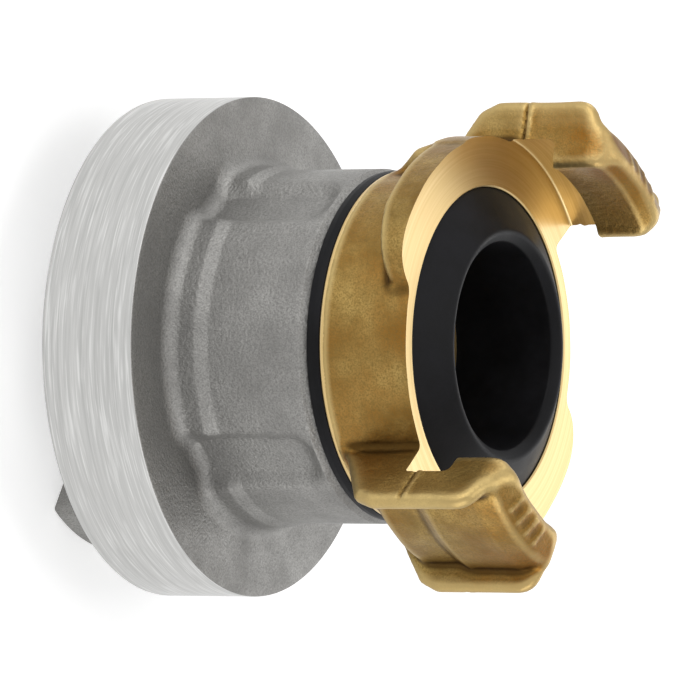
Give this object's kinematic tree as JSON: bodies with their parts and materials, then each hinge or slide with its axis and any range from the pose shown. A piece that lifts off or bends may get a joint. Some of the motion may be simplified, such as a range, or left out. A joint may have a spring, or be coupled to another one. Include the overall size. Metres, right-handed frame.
{
  "type": "quarter turn fire hose coupling adapter",
  "caption": "Aluminium lug coupling half screwed by a pipe thread to a cast brass claw coupling half, with a rubber seal in each face.",
  "frame": {"origin": "on the coupling axis, level with the tips of the two lugs that it stands on", "axes": "+Z along the coupling axis from the lug half towards the claw half; +Y through the middle of one claw"},
  "size_m": [0.055, 0.055, 0.06],
  "materials": {
    "aluminium": "matt casting, bright where it is turned",
    "brass": "matt casting, bright where it is turned",
    "rubber": "smooth moulded black"
  },
  "bodies": {
    "root": {"lug_coupling_body": "aluminium", "lug_face_seal": "rubber", "thread_gasket": "rubber", "claw_coupling_body": "brass", "claw_lip_seal": "rubber"}
  },
  "joints": []
}
